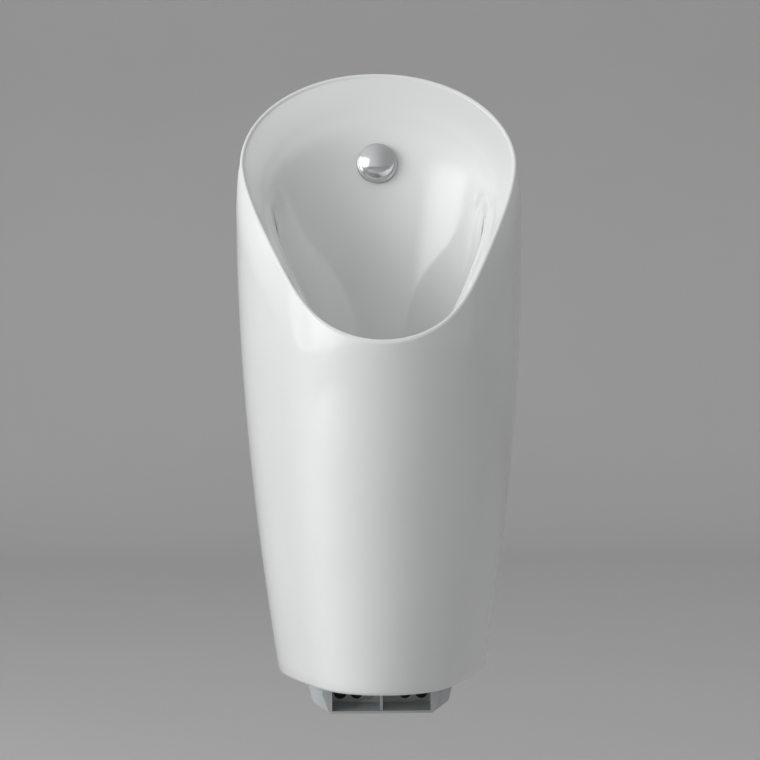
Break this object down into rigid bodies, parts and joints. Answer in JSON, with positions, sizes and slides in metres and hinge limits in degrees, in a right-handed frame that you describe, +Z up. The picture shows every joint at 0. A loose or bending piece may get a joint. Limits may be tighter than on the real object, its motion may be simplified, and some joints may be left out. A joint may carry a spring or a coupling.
{
  "type": "wall hung urinal",
  "caption": "Wall hung urinal with an inclined oval mouth, chrome spray head, hidden battery flush valve and lift-out trap, on two wall hooks and a lower bracket.",
  "frame": {"origin": "on the wall plane, midway between the two hanger holes", "axes": "+Z up, -Y out of the wall towards the user, +X to the user's right"},
  "size_m": [0.32, 0.357, 0.7477],
  "materials": {
    "glazed_ceramic": "glossy white glaze",
    "chrome": "polished",
    "strainer_steel": "brushed",
    "bracket_plastic": "light grey moulded",
    "galvanised_steel": "galvanised",
    "white_plastic": "moulded",
    "insert_plastic": "moulded",
    "black_rubber": "matt",
    "steel_pipe": "drawn tube",
    "brass": "machined",
    "steel": "zinc plated",
    "coil_plastic": "moulded over the winding",
    "case_plastic": "fine textured",
    "board": "lacquered board",
    "cells": "plain sleeve"
  },
  "bodies": {
    "root": {"ceramic_body": "glazed_ceramic", "wall_hangers": "galvanised_steel", "hanger_pads": "white_plastic", "spray_cap": "chrome", "spray_ring": "chrome", "spray_gasket": "black_rubber", "spray_body": "white_plastic", "spray_washer": "black_rubber", "spray_nut": "white_plastic", "inlet_elbow": "white_plastic", "riser_pipe": "steel_pipe", "valve_body": "brass", "diaphragm": "black_rubber", "valve_bonnet": "white_plastic", "bonnet_screws": "steel", "plunger_spring": "steel", "solenoid_coil": "coil_plastic", "coil_nut": "steel", "stop_valve_body": "brass", "stem_seal": "black_rubber", "inlet_filter": "steel", "union_washer": "black_rubber", "union_nut": "brass", "mounting_plate": "galvanised_steel", "control_box": "case_plastic", "control_lid": "case_plastic", "lid_screws": "steel", "circuit_board": "board", "sensor_housing": "case_plastic", "sensor_board": "board", "drain_sleeve": "white_plastic", "drain_gasket": "black_rubber", "nut_washer": "black_rubber", "drain_nut": "white_plastic", "trap_housing": "white_plastic", "neck_seal": "black_rubber", "trap_union_nut": "white_plastic", "outlet_pipe": "white_plastic", "outlet_seal": "black_rubber", "lower_bracket": "bracket_plastic", "entry_plugs": "black_rubber", "lock_screws": "steel", "lock_pads": "black_rubber"},
    "trap_insert_body": {"trap_insert": "insert_plastic", "insert_seal": "black_rubber"},
    "strainer_body": {"strainer": "strainer_steel"},
    "stop_valve_stem_body": {"stop_valve_ball": "steel", "stop_valve_stem": "steel"},
    "plunger_body": {"solenoid_plunger": "steel"},
    "battery_drawer_body": {"battery_drawer": "case_plastic", "battery_cells": "cells"}
  },
  "joints": [
    {"name": "trap_insert_lift", "type": "slide", "parent": "root", "child": "trap_insert_body", "axis": [0, 0, 1], "range_m": [0, 0.13]},
    {"name": "strainer_lift", "type": "slide", "parent": "trap_insert_body", "child": "strainer_body", "axis": [0, 0, 1], "range_m": [0, 0.03]},
    {"name": "stop_valve_turn", "type": "hinge", "parent": "root", "child": "stop_valve_stem_body", "pos_m": [-0.058, -0.04, -0.153], "axis": [0, 0, 1], "range_deg": [0, 90]},
    {"name": "plunger_slide", "type": "slide", "parent": "root", "child": "plunger_body", "axis": [0, 0, -1], "range_m": [0, 0.003], "stiffness_N_per_m": 400, "springref_m": -0.005, "deforming": ["plunger_spring"]},
    {"name": "battery_drawer_slide", "type": "slide", "parent": "root", "child": "battery_drawer_body", "axis": [0, 0, -1], "range_m": [0, 0.058]}
  ]
}
